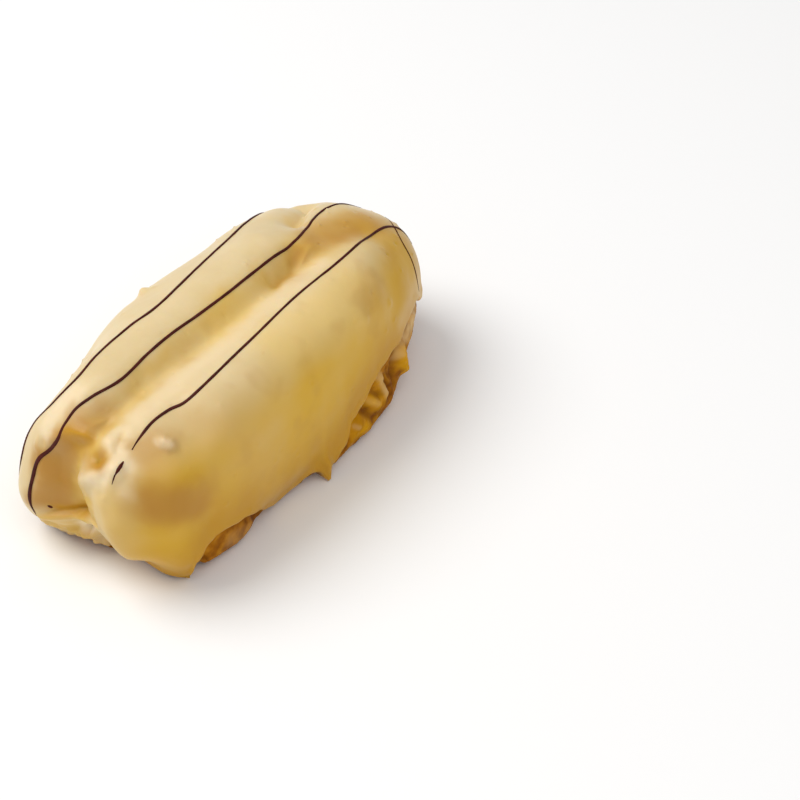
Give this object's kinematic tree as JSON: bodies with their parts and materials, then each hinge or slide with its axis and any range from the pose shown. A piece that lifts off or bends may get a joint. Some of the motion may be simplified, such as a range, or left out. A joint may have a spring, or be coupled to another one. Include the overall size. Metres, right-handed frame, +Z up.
{
  "type": "cream puff",
  "caption": "Oblong choux pastry bun under a pale yellow glaze with thin dark chocolate lines, bare crust showing below the glaze's edge.",
  "frame": {"origin": "centre of the puff's footprint, on the surface that it stands on", "axes": "+X along the puff towards its smoother far end, the ragged near end at -X; +Y across it, towards the side that the picture hides; +Z up"},
  "size_m": [0.1378, 0.062, 0.0507],
  "materials": {
    "crust": "baked choux crust, matte, golden brown",
    "glaze": "pale yellow banana-coloured glaze, smooth, satin"
  },
  "bodies": {
    "root": {"choux": "crust", "icing": "glaze"}
  },
  "joints": []
}
